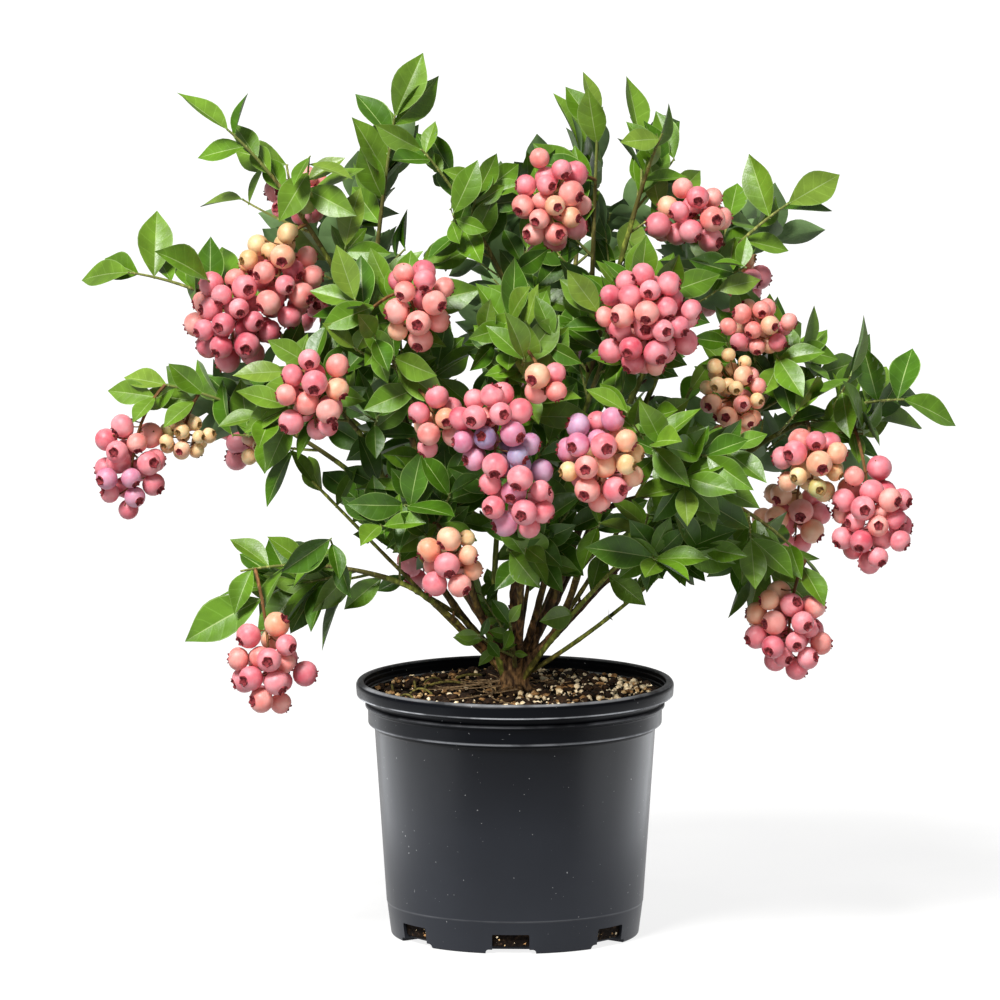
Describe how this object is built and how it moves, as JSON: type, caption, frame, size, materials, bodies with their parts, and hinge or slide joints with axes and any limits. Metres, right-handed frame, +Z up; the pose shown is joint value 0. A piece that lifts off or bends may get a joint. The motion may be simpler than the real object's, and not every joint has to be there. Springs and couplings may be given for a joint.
{
  "type": "potted blueberry bush",
  "caption": "Fruiting blueberry bush in a round nursery pot: canes fan out from a woody crown and carry leafy masses with hanging berry clusters.",
  "frame": {"origin": "middle of the pot's flat underside", "axes": "+Z up; the front of the plant faces -Y and its right side is +X"},
  "size_m": [0.6669, 0.4847, 0.6662],
  "materials": {
    "pot": "semi-matte black plastic",
    "soil": "damp potting mix with bark and perlite",
    "wood": "rough brown bark, olive on the younger canes",
    "foliage": "semi-matte green leaves"
  },
  "bodies": {
    "root": {"pot": "pot", "potting_mix": "soil", "woody_crown": "wood", "bough_top_left": "wood", "bough_left_high": "wood", "bough_top_centre_left": "wood", "bough_top_centre": "wood", "bough_top_right": "wood", "bough_right_high": "wood", "bough_top_back": "wood", "bough_back_top": "wood", "bough_right_far": "wood", "bough_right_mid": "wood", "bough_right_low": "wood", "bough_right_front": "wood", "bough_right_front_low": "wood", "bough_front_right_high": "wood", "bough_front_centre": "wood", "bough_front_low_right": "wood", "bough_front_left": "wood", "bough_front_low_left": "wood", "bough_left_arm": "wood", "bough_left_mid": "wood", "bough_low_left": "wood", "bough_back_left_high": "wood", "bough_back_left_low": "wood", "bough_back_right_high": "wood", "bough_back_right_low": "wood", "bough_back_centre": "wood", "bough_back_low": "wood", "bough_top_right_outer": "wood", "mass_top_left": "foliage", "mass_left_high": "foliage", "mass_top_centre_left": "foliage", "mass_top_centre": "foliage", "mass_top_right": "foliage", "mass_right_high": "foliage", "mass_top_back": "foliage", "mass_back_top": "foliage", "mass_right_far": "foliage", "mass_right_mid": "foliage", "mass_right_low": "foliage", "mass_right_front": "foliage", "mass_right_front_low": "foliage", "mass_front_right_high": "foliage", "mass_front_centre": "foliage", "mass_front_low_right": "foliage", "mass_front_left": "foliage", "mass_front_low_left": "foliage", "mass_left_arm": "foliage", "mass_left_mid": "foliage", "mass_low_left": "foliage", "mass_back_left_high": "foliage", "mass_back_left_low": "foliage", "mass_back_right_high": "foliage", "mass_back_right_low": "foliage", "mass_back_centre": "foliage", "mass_back_low": "foliage", "mass_base_sprig": "foliage", "mass_top_right_outer": "foliage"}
  },
  "joints": []
}
